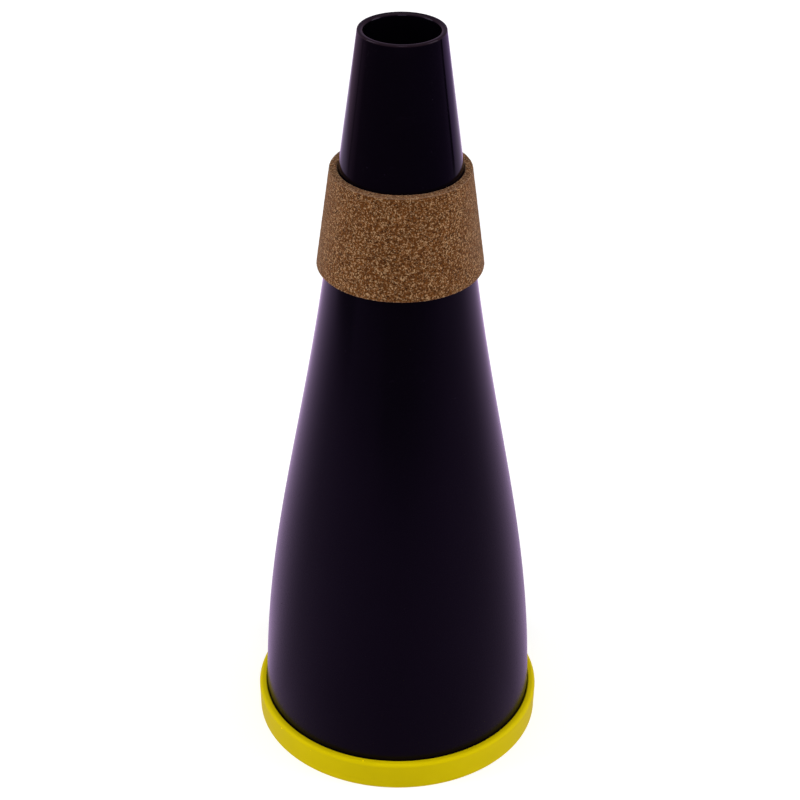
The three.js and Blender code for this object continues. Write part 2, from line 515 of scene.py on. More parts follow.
@dataclass(frozen=True)
class Finish:
    """What every finish holds: its record slot, colour and roughness."""

    slot: str
    colour: Triple
    roughness: float
    gloss: float = 0.5
    gloss_tint: Triple = (1.0, 1.0, 1.0)

    def material(self, effects: Effects) -> Material:
        """Builds the finish's material.

        Args:
            effects: The node groups that finishes share.

        Returns:
            The finished material.
        """
        skin = Surface(self.slot)
        skin.drive("Base Color", self.colour)
        skin.drive("Roughness", self.roughness)
        skin.drive("Specular IOR Level", self.gloss)
        skin.drive("Specular Tint", self.gloss_tint)
        self.paint(skin, effects)
        return skin.material

    def paint(self, skin: Surface, effects: Effects) -> None:
        """Adds what one kind of finish has of its own."""
        raise NotImplementedError

    def shade(self, factor: float) -> Triple:
        """Returns the finish's colour, darker or lighter by a factor."""
        return tuple(channel * factor for channel in self.colour)


@dataclass(frozen=True)
class MouldedPlastic(Finish):
    """Moulded plastic that hands have dulled lower down."""

    dull_roughness: float = 0.4
    bright_above: float = 0.165
    dull_below: float = 0.075
    smear_depth: float = 0.05
    scratch_depth: float = 0.12
    dust_depth: float = 0.3
    dust_shade: float = 2.2
    cloud: Span = Span(0.3, 0.7)
    mottle: float = 0.12
    # Painted highlight: faces that turn nearly upward above this height take a pale colour, which stands
    # in for light caught on the mouth's rounded rim.
    highlight_above: float = 1.0
    highlight_blur: float = 0.0001
    painted_highlight: Triple = (0.013, 0.007, 0.01)
    highlight_slope: Span = Span(0.9, 0.97, 1.0, 0.0)
    ripple: Grain = Grain(900.0, 2.0)
    relief: Relief = Relief(0.5, 0.000004)

    def paint(self, skin: Surface, effects: Effects) -> None:
        """Adds wear, a mottle, a painted highlight on nearly upward faces high up, and a fine ripple.

        Args:
            skin: The finish's surface.
            effects: The node groups that finishes share.
        """
        marks = skin.group(effects.handling)
        height = skin.add("SeparateXYZ", {0: skin.place}).outputs["Z"]
        rough = skin.stretch(height, Span(
            self.dull_below, self.bright_above, self.dull_roughness, self.roughness))
        depths = {"Smear": self.smear_depth, "Hairline": self.scratch_depth, "Dust": self.dust_depth}
        for mark, depth in depths.items():
            rough = skin.math("MULTIPLY_ADD", marks[mark], depth, rough)
        skin.drive("Roughness", rough)
        cloud = skin.stretch(marks["Smear"], self.cloud)
        mottled = skin.blend(cloud, self.shade(1.0 - self.mottle), self.shade(1.0 + self.mottle))
        grey = skin.blend(marks["Dust"], mottled, self.shade(self.dust_shade))
        # Painted highlight: the mask of nearly upward faces high up on the shell, where the rim's
        # rounding would catch the light.
        high = skin.stretch(height, Span(self.highlight_above, self.highlight_above + self.highlight_blur))
        highlight_mask = skin.math("MULTIPLY", skin.stretch(skin.upward(), self.highlight_slope), high)
        skin.drive("Base Color", skin.blend(highlight_mask, grey, self.painted_highlight))
        skin.bump(skin.noise(skin.place, self.ripple), self.relief)


@dataclass(frozen=True)
class CorkSheet(Finish):
    """Pressed cork granules, cut into a sheet and sanded."""

    light: Triple = (0.6, 0.38, 0.2)
    dark: Triple = (0.03, 0.008, 0.002)
    # Painted highlight: the colour of the upward-facing rounded edge, standing in for light caught on
    # the rounding.
    edge_highlight: Triple = (0.27, 0.165, 0.11)
    granules_per_metre: float = 1800.0
    fine_per_metre: float = 3240.0
    unevenness: float = 0.3
    breaks: Grain = Grain(1620.0, 1.0)
    chips: Span = Span(0.52, 0.62, 0.0, 0.9)
    gaps: Span = Span(0.4, 0.48, 0.75, 0.0)
    flecks: Span = Span(0.88, 0.95, 0.0, 0.7)
    pits: Span = Span(0.1, 0.17, 0.9, 0.0)
    highlight_tilt: float = 0.6
    edge: Span = Span(0.15, 0.35, 0.6, 0.0)
    cloud: Grain = Grain(160.0, 3.0)
    tones: Stops = ((0.3, 0.92), (0.7, 1.0))
    fine_height: float = 0.5
    relief: Relief = Relief(0.8, 0.0001)
    sheen: float = 0.38
    sheen_roughness: float = 0.3
    sheen_tint: Triple = (1.0, 0.68, 0.5)

    def paint(self, skin: Surface, effects: Effects) -> None:
        """Adds granules with their flecks, pits and binder, and a painted highlight on the upward-facing
        rounded edge.

        Args:
            skin: The finish's surface.
            effects: The node groups that finishes share.
        """
        coarse = skin.group(effects.granules, Density=self.granules_per_metre)
        fine = skin.group(effects.granules, Density=self.fine_per_metre)
        dim, bright = (self.shade(1.0 + way * self.unevenness) for way in (-1, 1))
        shade = skin.ramp(coarse["Shade"], [(0.0, dim), (0.5, self.colour), (1.0, bright)])
        breaks = skin.noise(skin.place, self.breaks)
        chips = skin.math("MULTIPLY", skin.stretch(breaks, self.chips), coarse["Seam"])
        lit = skin.math("MAXIMUM", chips, skin.stretch(fine["Shade"], self.flecks))
        flecked = skin.blend(lit, shade, self.light)
        pits = skin.stretch(fine["Shade"], self.pits)
        pitted = skin.blend(pits, flecked, self.dark)
        binder = skin.math("MULTIPLY", coarse["Seam"], skin.stretch(breaks, self.gaps))
        bound = skin.blend(binder, pitted, self.dark)
        # Painted highlight: faces that tilt upward near this slope take the pale colour; the lower
        # rounded edge does not.
        off_highlight = skin.math("ABSOLUTE", skin.math("SUBTRACT", skin.upward(), self.highlight_tilt))
        highlighted = skin.blend(skin.stretch(off_highlight, self.edge), bound, self.edge_highlight)
        skin.tone(highlighted, skin.noise(skin.place, self.cloud), self.tones)
        domes = skin.math("MULTIPLY", fine["Height"], self.fine_height)
        relief = skin.math("SUBTRACT", skin.math("ADD", coarse["Height"], domes), pits)
        skin.bump(relief, self.relief)
        skin.drive("Sheen Weight", self.sheen)
        skin.drive("Sheen Roughness", self.sheen_roughness)
        skin.drive("Sheen Tint", self.sheen_tint)


@dataclass(frozen=True)
class CellFoam(Finish):
    """Open-cell foam, with a pore in each cell."""

    cells_per_metre: float = 900.0
    wall_shade: float = 1.5
    pore_painted_shade: float = 0.25
    tones: Stops = ((0.0, 0.75), (1.0, 1.0))
    relief: Relief = Relief(0.9, 0.0005)

    def paint(self, skin: Surface, effects: Effects) -> None:
        """Adds the cells, with painted shade darkening each pore and paler walls between them.

        Args:
            skin: The finish's surface.
            effects: The node groups that finishes share.
        """
        cells = skin.group(effects.granules, Density=self.cells_per_metre)
        # Painted shade: the sunken centre of each cell is darkened, standing in for the shade inside the
        # pore.
        pores = skin.blend(cells["Height"], self.shade(self.wall_shade), self.shade(self.pore_painted_shade))
        skin.tone(pores, cells["Shade"], self.tones)
        skin.bump(skin.math("SUBTRACT", 1.0, cells["Height"]), self.relief)


@dataclass(frozen=True)
class PressedFelt(Finish):
    """Pressed felt with short loose fibres."""

    stretched: Triple = (1.0, 1.0, 4.0)
    fibres: Grain = Grain(1400.0, 6.0, 0.75, 2.0)
    strands: Span = Span(0.3, 0.7)
    unevenness: float = 0.5
    mottle: Grain = Grain(180.0, 3.0)
    tones: Stops = ((0.3, 0.8), (0.7, 1.0))
    relief: Relief = Relief(0.8, 0.0003)
    sheen: float = 0.3

    def paint(self, skin: Surface, effects: Effects) -> None:
        """Adds the strands and a mottle.

        Args:
            skin: The finish's surface.
            effects: The node groups that finishes share.
        """
        along = skin.add("Mapping", {"Vector": skin.place, "Scale": self.stretched}).outputs[0]
        strands = skin.stretch(skin.noise(along, self.fibres), self.strands)
        dim, bright = (self.shade(1.0 + way * self.unevenness) for way in (-1, 1))
        colour = skin.blend(strands, dim, bright)
        skin.tone(colour, skin.noise(skin.place, self.mottle), self.tones)
        skin.bump(strands, self.relief)
        skin.drive("Sheen Weight", self.sheen)


@dataclass(frozen=True)
class MouldedRubber(Finish):
    """Matt rubber with a bloom on it."""

    bloom: float = 2.4
    cloud: Span = Span(0.35, 0.75, 0.0, 0.6)
    smear_depth: float = 0.2
    smear_start: float = 0.1
    pores: Grain = Grain(2500.0, 3.0)
    relief: Relief = Relief(0.4, 0.00003)

    def paint(self, skin: Surface, effects: Effects) -> None:
        """Adds the bloom and fine pores.

        Args:
            skin: The finish's surface.
            effects: The node groups that finishes share.
        """
        smear = skin.group(effects.handling)["Smear"]
        cloud = skin.stretch(smear, self.cloud)
        skin.drive("Base Color", skin.blend(cloud, self.shade(1.0), self.shade(self.bloom)))
        start = self.roughness - self.smear_start
        skin.drive("Roughness", skin.math("MULTIPLY_ADD", smear, self.smear_depth, start))
        skin.bump(skin.noise(skin.place, self.pores), self.relief)


@dataclass
class Wardrobe:
    """All the finishes of the mute, built once."""

    black: MouldedPlastic = MouldedPlastic(
        "black_plastic", (0.0012, 0.0007, 0.002), 0.06, gloss=0.1, gloss_tint=(0.8, 0.65, 1.0),
        dull_roughness=0.22, highlight_above=0.2353)
    yellow: MouldedPlastic = MouldedPlastic(
        "yellow_plastic", (0.7, 0.55, 0.001), 0.42, gloss=0.05, gloss_tint=(1.0, 0.88, 0.1),
        dull_roughness=0.42, smear_depth=0.12, relief=Relief(0.5, 0.00001), mottle=0.03)
    grey: MouldedPlastic = MouldedPlastic(
        "grey_plastic", (0.07, 0.07, 0.08), 0.35, dull_roughness=0.35)
    cork: CorkSheet = CorkSheet(
        "cork_sheet", (0.15, 0.052, 0.013), 0.9, gloss=0.06, gloss_tint=(1.0, 0.7, 0.45))
    foam: CellFoam = CellFoam("charcoal_foam", (0.05, 0.05, 0.055), 0.95, gloss=0.2)
    felt: PressedFelt = PressedFelt("grey_felt", (0.1, 0.095, 0.11), 0.95, gloss=0.2)
    rubber: MouldedRubber = MouldedRubber(
        "black_rubber", (0.006, 0.006, 0.006), 0.75, gloss=0.25)
    made: dict[str, Material] = field(default_factory=dict)

    def sew(self) -> None:
        """Builds every material."""
        effects = Effects(Granules().group(), Handling().group())
        finishes = (self.black, self.yellow, self.grey, self.cork, self.foam, self.felt, self.rubber)
        for finish in finishes:
            self.made[finish.slot] = finish.material(effects)


def stand_for(piece: Object, node: str) -> None:
    """Puts a piece in place of the plain solid of that name and reports it."""
    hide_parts(node)
    log.info("%s: %d faces, for %s", piece.name, len(piece.data.polygons), node)


@dataclass(frozen=True)
class ShellForm:
    """The shell's side: a curved flank below a straight neck."""

    foot_radius: float = 0.04275
    mouth_radius: float = 0.0125
    foot_height: float = 0.00346
    flank_length: float = 0.159
    neck_length: float = 0.0735
    neck_spread: float = 0.00962
    wall: float = 0.0018
    shoulder_share: float = 0.39
    belly_share: float = 0.376
    flank_points: int = 56
    neck_points: int = 12

    @property
    def neck_foot(self) -> float:
        """Height at which the straight neck starts."""
        return self.foot_height + self.flank_length

    @property
    def mouth_height(self) -> float:
        """Height of the open mouth."""
        return self.neck_foot + self.neck_length

    def outline(self) -> list[tuple[float, float]]:
        """Works out the outer side.

        Returns:
            Radius and height of each point, from the foot to the mouth.
        """
        shoulder = self.shoulder_share * self.flank_length
        belly = self.belly_share * self.flank_length
        slope = self.neck_spread / self.neck_length
        neck_radius = self.mouth_radius + self.neck_spread
        flank = geometry.interpolate_bezier(
            Vector((self.foot_radius, self.foot_height)),
            Vector((self.foot_radius, self.foot_height + belly)),
            Vector((neck_radius + slope * shoulder, self.neck_foot - shoulder)),
            Vector((neck_radius, self.neck_foot)),
            self.flank_points,
        )
        rises = [self.neck_length * k / self.neck_points for k in range(1, self.neck_points + 1)]
        neck = [(neck_radius - slope * rise, self.neck_foot + rise) for rise in rises]
        return [(point.x, point.y) for point in flank] + neck

    def radius_at(self, height: float) -> float:
        """Looks up the outer radius.

        Args:
            height: The height, not below the foot.

        Returns:
            The radius there, or the mouth's radius above the mouth.
        """
        points = self.outline()
        for (low_radius, low), (high_radius, high) in zip(points, points[1:]):
            if height <= high:
                share = (height - low) / (high - low)
                return low_radius + (high_radius - low_radius) * share
        return self.mouth_radius

    def band(
        self, foot: float, top: float, outer: float, inner: float, rounding: float, rows: int
    ) -> list[Corner]:
        """Works out the profile of a band that follows the side.

        Args:
            foot: Height of the band's lower edge.
            top: Height of its upper edge.
            outer: Distance of its outer face from the shell's outer side.
            inner: Distance of its inner face, both less than zero inside the shell.
            rounding: Rounding of its four edges.
            rows: How many rows of faces each side has.

        Returns:
            The corners, up the outer side and down the inner one.
        """
        heights = [foot + (top - foot) * row / rows for row in range(rows + 1)]
        ends = (heights[0], heights[-1])
        outside, inside = (
            [Corner(self.radius_at(z) + off, z, rounding if z in ends else 0.0) for z in heights]
            for off in (outer, inner))
        return outside + inside[::-1]


@dataclass(frozen=True)
class Assembly:
    """The pieces that ride on one body of the frame."""

    looks: Wardrobe
    body: Body
    form: ShellForm = ShellForm()

    def dress(self, piece: Object, finish: Finish) -> Object:
        """Gives a piece its finish and its body.

        Args:
            piece: The finished piece.
            finish: The finish that it takes.

        Returns:
            The same piece.
        """
        piece.data.materials.clear()
        piece.data.materials.append(self.looks.made[finish.slot])
        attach(piece, self.body.value)
        return piece


@dataclass(frozen=True)
class MuteBody(Assembly):
    """The shell and all that stays on it: cork, seal and lining."""

    body: Body = Body.SHELL
    foot_rounding: float = 0.0003
    mouth_outer_rounding: float = 0.0005
    mouth_inner_rounding: float = 0.0008
    mouth_fall: float = 0.0003
    cork_drop: float = 0.0421
    cork_length: float = 0.0309
    cork_thickness: float = 0.00232
    cork_glue: float = 0.00025
    cork_rounding: float = 0.00035
    cork_rows: int = 56
    cork_steps: int = 360
    cork_slit: float = 0.00012
    cork_slit_bearing: float = 1.9
    cork_grain: float = 0.0008
    cork_roughness: float = 0.00007
    seal_inner: float = 0.04008
    seal_leg: float = 0.00055
    seal_outer: float = 0.04283
    seal_foot: float = 0.00233
    seal_web: float = 0.001
    seal_rise: float = 0.00575
    seal_rounding: float = 0.0002
    liner_foot: float = 0.0421
    liner_length: float = 0.076
    liner_thickness: float = 0.0025
    liner_glue: float = 0.0003
    liner_rows: int = 24
    liner_slit: float = 0.001
    liner_slit_bearing: float = 1.2

    def build(self) -> None:
        """Builds and dresses every piece of the body."""
        for make in (self.shell, self.cork, self.seal, self.liner):
            make()

    def shell(self) -> None:
        """Makes the moulded shell, open at both ends."""
        side = self.form.outline()
        last = len(side) - 1
        outer_round = {0: self.foot_rounding, last: self.mouth_outer_rounding}
        inner_round = {0: self.foot_rounding, last: self.mouth_inner_rounding}
        falls = {last: self.mouth_fall}
        outer = [Corner(r, z, outer_round.get(i, 0.0)) for i, (r, z) in enumerate(side)]
        inner = [
            Corner(r - self.form.wall, z - falls.get(i, 0.0), inner_round.get(i, 0.0))
            for i, (r, z) in enumerate(side)]
        work = Turning(outer + inner[::-1], steps=WIDE_STEPS).mesh()
        piece = self.dress(to_piece(work, "moulded_shell"), self.looks.black)
        stand_for(piece, "body_shell")

    def cork(self) -> None:
        """Makes the cork band, a strip glued round the neck with its ends butted at the back."""
        top = self.form.mouth_height - self.cork_drop
        corners = self.form.band(
            top - self.cork_length, top, self.cork_glue + self.cork_thickness, self.cork_glue,
            self.cork_rounding, self.cork_rows)
        work = Turning(
            corners, steps=self.cork_steps, slit_angle=self.cork_slit / corners[0].radius,
            slit_bearing=self.cork_slit_bearing, round_segments=3).mesh()
        roughen(work, self.cork_grain, self.cork_roughness)
        piece = to_piece(work, "cork_band", SOFT_CREASE)
        stand_for(self.dress(piece, self.looks.cork), "neck_cork")

    def seal(self) -> None:
        """Makes the rubber seal, with its web under the shell's foot and its leg inside it."""
        leg_outer = self.seal_inner + self.seal_leg
        top = self.seal_foot + self.seal_rise
        web_top = self.seal_foot + self.seal_web
        corners = [
            Corner(self.seal_inner, self.seal_foot),
            Corner(self.seal_outer, self.seal_foot),
            Corner(self.seal_outer, web_top),
            Corner(leg_outer, web_top),
            Corner(leg_outer, top, self.seal_rounding),
            Corner(self.seal_inner, top, self.seal_rounding),
        ]
        piece = to_piece(Turning(corners).mesh(), "rubber_seal")
        stand_for(self.dress(piece, self.looks.rubber), "cap_seal")

    def liner(self) -> None:
        """Makes the felt lining, a sheet rolled up inside the shell."""
        outer = -(self.form.wall + self.liner_glue)
        corners = self.form.band(
            self.liner_foot, self.liner_foot + self.liner_length, outer,
            outer - self.liner_thickness, 0.0, self.liner_rows)
        slit_angle = self.liner_slit / corners[0].radius
        turning = Turning(corners, slit_angle=slit_angle, slit_bearing=self.liner_slit_bearing)
        piece = to_piece(turning.mesh(), "felt_lining")
        self.dress(piece, self.looks.felt)
        stand_for(piece, "wall_liner")


@dataclass(frozen=True)
class CapInsert(Assembly):
    """The end cap and all that comes away with it: vent tube, plug, grommet and foam."""

    body: Body = Body.CAP
    lip_radius: float = 0.04531
    bore_radius: float = 0.0429
    height: float = 0.0094
    draft: float = 0.00026
    base_rounding: float = 0.0003
    lip_rounding: float = 0.0012
    lip_inner_rounding: float = 0.0005
    groove_floor: float = 0.0022
    recess: float = 0.0012
    floor_wall: float = 0.0022
    ring_width: float = 0.0099
    ring_rounding: float = 0.0006
    spigot_radius: float = 0.03995
    spigot_wall: float = 0.002
    spigot_rise: float = 0.0073
    spigot_rounding: float = 0.0005
    outlet_radius: float = 0.004
    outlet_rounding: float = 0.0005
    boss_wall: float = 0.0019
    boss_rise: float = 0.0126
    boss_rounding: float = 0.0004
    rib_count: int = 6
    rib_thickness: float = 0.0016
    rib_rise: float = 0.004
    rib_rounding: float = 0.00025
    gusset_reach: float = 0.005
    gusset_rise: float = 0.009
    tube_radius: float = 0.006
    tube_wall: float = 0.0012
    tube_length: float = 0.112
    tube_gap: float = 0.0001
    tube_rounding: float = 0.0002
    grommet_wall: float = 0.0011
    grommet_flange: float = 0.0016
    grommet_rounding: float = 0.0003
    plug_stem: float = 0.005
    plug_head: float = 0.002
    plug_rounding: float = 0.0007
    stem_rounding: float = 0.0003
    bleed_radius: float = 0.0009
    bleed_pitch: float = 0.006
    bleed_land: float = 0.002
    bleed_rows: int = 2
    bleed_drills: int = 2
    bleed_segments: int = 24
    foam_gap: float = 0.0003
    foam_height: float = 0.03
    foam_rounding: float = 0.0012
    foam_bore_rounding: float = 0.0005
    foam_rows: int = 16
    foam_roughness: float = 0.0002
    foam_grain: float = 0.002
    collar_length: float = 0.015
    collar_land: float = 0.0015
    collar_inset: float = 0.0051

    @property
    def floor(self) -> float:
        """Height of the cap's floor."""
        return self.recess + self.floor_wall

    @property
    def socket_radius(self) -> float:
        """Radius of the socket that the tube stands in."""
        return self.tube_radius + self.tube_gap + self.grommet_wall + self.tube_gap

    @property
    def boss_radius(self) -> float:
        """Outer radius of the boss round the socket."""
        return self.socket_radius + self.boss_wall

    @property
    def tube_foot(self) -> float:
        """Height of the vent tube's lower end."""
        return self.floor + self.tube_gap

    @property
    def tube_top(self) -> float:
        """Height of the vent tube's upper end."""
        return self.tube_foot + self.tube_length

    @property
    def last_bleed(self) -> float:
        """Height of the lowest row of bleed holes."""
        return self.first_bleed - (self.bleed_rows - 1) * self.bleed_pitch

    @property
    def first_bleed(self) -> float:
        """Height of the highest row of bleed holes."""
        return self.tube_top - self.plug_stem - self.bleed_land - self.bleed_radius

    def build(self) -> None:
        """Builds and dresses every piece of the cap."""
        makers = (self.cap, self.tube, self.plug, self.grommet, self.base_foam, self.collar)
        for make in makers:
            make()

    def cap(self) -> None:
        """Makes the moulded end cap, with its ribs."""
        foot = self.lip_radius - self.draft
        ring = foot - self.base_rounding - self.ring_width
        spigot_bore = self.spigot_radius - self.spigot_wall
        spigot_top = self.groove_floor + self.spigot_rise
        boss_top = self.floor + self.boss_rise
        corners = [
            Corner(self.outlet_radius, self.recess, self.outlet_rounding),
            Corner(ring - self.recess, self.recess, self.ring_rounding),
            Corner(ring, 0.0, self.ring_rounding),
            Corner(foot, 0.0, self.base_rounding),
            Corner(self.lip_radius, self.height, self.lip_rounding),
            Corner(self.bore_radius, self.height, self.lip_inner_rounding),
            Corner(self.bore_radius, self.groove_floor),
            Corner(self.spigot_radius, self.groove_floor),
            Corner(self.spigot_radius, spigot_top, self.spigot_rounding),
            Corner(spigot_bore, spigot_top, self.spigot_rounding),
            Corner(spigot_bore, self.floor),
            Corner(self.boss_radius, self.floor),
            Corner(self.boss_radius, boss_top, self.boss_rounding),
            Corner(self.socket_radius, boss_top, self.boss_rounding),
            Corner(self.socket_radius, self.floor),
            Corner(self.outlet_radius, self.floor),
        ]
        work = Turning(corners, steps=WIDE_STEPS, round_segments=5).mesh()
        self.add_ribs(work, (spigot_bore + self.spigot_radius) / 2)
        piece = to_piece(work, "moulded_cap")
        stand_for(self.dress(piece, self.looks.yellow), "end_cap")

    def add_ribs(self, work: BMesh, reach: float) -> None:
        """Adds the ribs that run from the boss to the spigot.

        Args:
            work: The cap's turned mesh.
            reach: Radius at which each rib ends, inside the spigot's wall.
        """
        start = (self.socket_radius + self.boss_radius) / 2
        sunk = (self.recess + self.floor) / 2
        top = self.floor + self.rib_rise
        gusset_top = self.floor + self.gusset_rise
        side = [
            (start, sunk),
            (reach, sunk),
            (reach, top),
            (self.boss_radius + self.gusset_reach, top),
            (self.boss_radius, gusset_top),
            (start, gusset_top),
        ]
        rib = bmesh.new()
        face = rib.faces.new([rib.verts.new((x, -self.rib_thickness / 2, z)) for x, z in side])
        moved = bmesh.ops.extrude_face_region(rib, geom=[face])["geom"]
        far = [vert for vert in moved if isinstance(vert, BMVert)]
        bmesh.ops.translate(rib, verts=far, vec=(0.0, self.rib_thickness, 0.0))
        bmesh.ops.recalc_face_normals(rib, faces=rib.faces)
        round_edges(rib, list(rib.edges), self.rib_rounding, segments=2)
        copies = self.rib_count - 1
        parts = [*rib.verts, *rib.edges, *rib.faces]
        spin(rib, parts, FULL_TURN * copies / self.rib_count, copies, copy=True)
        ribs = bpy.data.meshes.new("ribs")
        rib.to_mesh(ribs)
        rib.free()
        work.from_mesh(ribs)
        bpy.data.meshes.remove(ribs)

    def tube(self) -> None:
        """Makes the vent tube, with its rows of bleed holes."""
        bore = self.tube_radius - self.tube_wall
        ends = (
            (bore, self.tube_foot), (self.tube_radius, self.tube_foot),
            (self.tube_radius, self.tube_top), (bore, self.tube_top))
        corners = [Corner(radius, height, self.tube_rounding) for radius, height in ends]
        piece = to_piece(Turning(corners, steps=SLIM_STEPS).mesh(), "vent_pipe")
        drills = bmesh.new()
        lying = Matrix.Rotation(math.pi / 2, 4, "X")
        through = 4 * self.tube_radius
        for row in range(self.bleed_rows):
            height = self.first_bleed - row * self.bleed_pitch
            for quarter in range(self.bleed_drills):
                bearing = Matrix.Rotation(quarter * math.pi / 2 + row * math.pi / 4, 4, "Z")
                bmesh.ops.create_cone(
                    drills, cap_ends=True, segments=self.bleed_segments, radius1=self.bleed_radius,
                    radius2=self.bleed_radius, depth=through,
                    matrix=Matrix.Translation((0.0, 0.0, height)) @ bearing @ lying)
        carve(piece, drills)
        stand_for(self.dress(piece, self.looks.grey), "vent_tube")

    def plug(self) -> None:
        """Makes the plug that closes the tube."""
        head = self.tube_top + self.tube_gap
        stem = self.tube_radius - self.tube_wall - self.tube_gap
        corners = [
            Corner(0.0, head - self.plug_stem),
            Corner(stem, head - self.plug_stem, self.stem_rounding),
            Corner(stem, head),
            Corner(self.tube_radius, head),
            Corner(self.tube_radius, head + self.plug_head, self.plug_rounding),
            Corner(0.0, head + self.plug_head),
        ]
        piece = to_piece(Turning(corners, Closure.AXIS, steps=SLIM_STEPS).mesh(), "vent_plug")
        stand_for(self.dress(piece, self.looks.rubber), "tube_plug")

    def grommet(self) -> None:
        """Makes the rubber sleeve between the tube and its socket."""
        bore = self.tube_radius + self.tube_gap
        sleeve = bore + self.grommet_wall
        flange = self.floor + self.boss_rise + self.tube_gap
        corners = [
            Corner(bore, self.tube_foot),
            Corner(sleeve, self.tube_foot),
            Corner(sleeve, flange),
            Corner(self.boss_radius, flange, self.grommet_rounding),
            Corner(self.boss_radius, flange + self.grommet_flange, self.grommet_rounding),
            Corner(bore, flange + self.grommet_flange, self.grommet_rounding),
        ]
        piece = to_piece(Turning(corners, steps=SLIM_STEPS).mesh(), "rubber_grommet")
        stand_for(self.dress(piece, self.looks.rubber), "tube_grommet")

    def base_foam(self) -> None:
        """Makes the foam ring that lies on the ribs."""
        foot = self.floor + self.rib_rise + self.foam_gap
        outer = self.spigot_radius - self.spigot_wall - self.foam_gap
        bore = self.boss_radius + self.gusset_reach + self.foam_gap
        sides = ((foot, outer), (foot + self.foam_height, outer))
        self.foam(bore, sides, "foam_ring", "base_foam")

    def collar(self) -> None:
        """Makes the foam collar that keeps the tube on the axis."""
        top = self.last_bleed - self.bleed_radius - self.collar_land
        foot = top - self.collar_length
        sides = tuple((z, self.form.radius_at(z) - self.collar_inset) for z in (foot, top))
        bore = self.tube_radius + self.foam_gap
        self.foam(bore, sides, "foam_collar", "centring_foam")

    def foam(
        self, bore: float, sides: Sequence[tuple[float, float]], name: str, node: str
    ) -> None:
        """Makes one foam piece.

        Args:
            bore: Radius of its hole.
            sides: Height and outer radius of its lower and its upper edge.
            name: The piece's name.
            node: The solid that it stands for.
        """
        (foot, low_radius), (top, high_radius) = sides
        steps = [row / self.foam_rows for row in range(self.foam_rows + 1)]
        outside = [(low_radius + (high_radius - low_radius) * s, foot + (top - foot) * s) for s in steps]
        edge = {0: self.foam_rounding, self.foam_rows: self.foam_rounding}
        corners = [Corner(r, z, edge.get(i, 0.0)) for i, (r, z) in enumerate(outside)]
        corners += [Corner(bore, z, self.foam_bore_rounding) for z in (top, foot)]
        work = Turning(corners, round_segments=3).mesh()
        roughen(work, self.foam_grain, self.foam_roughness)
        piece = self.dress(to_piece(work, name, SOFT_CREASE), self.looks.foam)
        stand_for(piece, node)


@dataclass(frozen=True)
class Lamp:
    """A soft box that looks at one point."""

    name: str
    place: Triple
    aim: Triple
    width: float
    height: float
    watts: float

    def light(self) -> None:
        """Puts the soft box in the scene."""
        data = bpy.data.lights.new(self.name, "AREA")
        data.shape = "RECTANGLE"
        data.size = self.width
        data.size_y = self.height
        data.energy = self.watts
        lamp = bpy.data.objects.new(self.name, data)
        facing = (Vector(self.aim) - Vector(self.place)).to_track_quat("-Z", "Y")
        lamp.matrix_world = Matrix.Translation(self.place) @ facing.to_matrix().to_4x4()
        bpy.context.scene.collection.objects.link(lamp)


@dataclass(frozen=True)
class Zone:
    """A ring of the reflected table, lit differently on each bearing.

    A bearing is in degrees from the front, less than zero on the left.
    """

    start: float
    end: float
    left_tint: Triple
    right_tint: Triple
    levels: tuple[tuple[float, float], ...]

    def stops(self) -> list[tuple[float, Triple]]:
        """Works out the ramp's stops, from the back round the front to the back again.

        Returns:
            Place and colour of each stop.
        """
        stops = []
        for bearing, level in self.levels:
            tint = self.right_tint if bearing > 0 else self.left_tint
            stops.append((0.5 + bearing / 360.0, tuple(level * channel for channel in tint)))
        return stops


